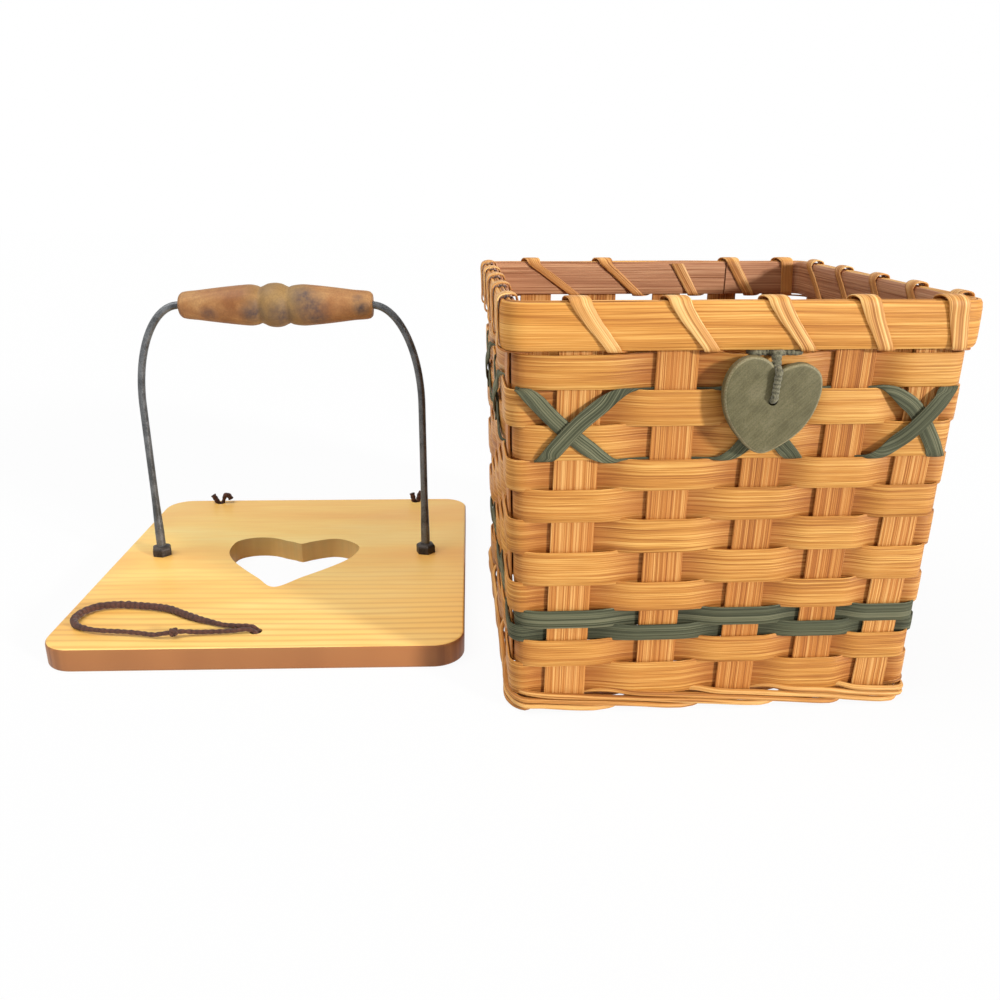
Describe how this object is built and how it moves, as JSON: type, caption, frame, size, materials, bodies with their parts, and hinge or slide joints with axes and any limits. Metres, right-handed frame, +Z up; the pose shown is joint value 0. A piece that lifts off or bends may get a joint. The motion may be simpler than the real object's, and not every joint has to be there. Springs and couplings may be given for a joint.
{
  "type": "lidded wood basket",
  "caption": "Square woven splint basket with bound rim and heart button, beside its loose pine lid with heart cut-out and wire bail.",
  "frame": {"origin": "middle of the basket's base on the floor", "axes": "+X to the basket's right as seen from its front, -Y out of its front, +Z up; the lid lies on the floor on the -X side"},
  "size_m": [0.4004, 0.2658, 0.1781],
  "materials": {
    "splint": "satin varnished oak splint",
    "green_splint": "matte green-stained splint",
    "stake": "satin varnished oak splint",
    "reed": "satin round reed",
    "rim": "satin half-round reed and splint",
    "inner_rim": "satin half-round reed",
    "heart_paint": "matte olive paint with worn pale edge",
    "grey_cord": "matte twisted cord",
    "pine": "satin clear-finished knotty pine",
    "bail_steel": "dark drawn wire",
    "nut_steel": "dark blued steel",
    "grip_wood": "satin stained turned wood",
    "brown_cord": "matte fuzzy brown cord"
  },
  "bodies": {
    "basket": {"weaver_row_01": "splint", "weaver_row_02": "splint", "weaver_row_03": "splint", "weaver_row_04": "splint", "weaver_row_05": "splint", "weaver_row_06": "splint", "weaver_row_07": "splint", "weaver_row_08": "splint", "weaver_row_09": "splint", "weaver_row_10": "splint", "green_row_01": "green_splint", "green_row_02": "green_splint", "stake_front_back_1": "stake", "stake_front_back_2": "stake", "stake_front_back_3": "stake", "stake_front_back_4": "stake", "stake_front_back_5": "stake", "stake_left_right_1": "stake", "stake_left_right_2": "stake", "stake_left_right_3": "stake", "stake_left_right_4": "stake", "stake_left_right_5": "stake", "base_reed_1": "reed", "base_reed_2": "reed", "base_reed_3": "reed", "base_reed_4": "reed", "lacing_strand_falling": "green_splint", "lacing_strand_rising": "green_splint", "rim_band_outer": "rim", "rim_band_inner": "inner_rim", "rim_filler_reed": "reed", "rim_lashing": "rim", "button_anchor_cord": "grey_cord"},
    "heart": {"heart_button": "heart_paint", "heart_tie": "grey_cord"},
    "lid": {"lid_board": "pine", "bail_wire": "bail_steel", "bail_nut_top_left": "nut_steel", "bail_nut_top_right": "nut_steel", "bail_nut_lower_left": "nut_steel", "bail_nut_lower_right": "nut_steel", "closure_loop": "brown_cord", "loop_knot": "brown_cord", "loop_stop_knot": "brown_cord", "rear_tie_left": "brown_cord", "rear_tie_right": "brown_cord"},
    "grip": {"bail_grip": "grip_wood"}
  },
  "joints": [
    {"name": "lid_lift", "type": "slide", "parent": "basket", "child": "lid", "axis": [0, 0, 1], "range_m": [0, 0.25]},
    {"name": "heart_swing", "type": "hinge", "parent": "basket", "child": "heart", "pos_m": [0.01051, -0.0933, 0.15614], "axis": [-1, 0, 0], "range_deg": [0, 80]},
    {"name": "grip_turn", "type": "hinge", "parent": "lid", "child": "grip", "pos_m": [-0.20294, 0.0692, 0.1547], "axis": [0.9996, -0.027, 0], "continuous": true}
  ]
}
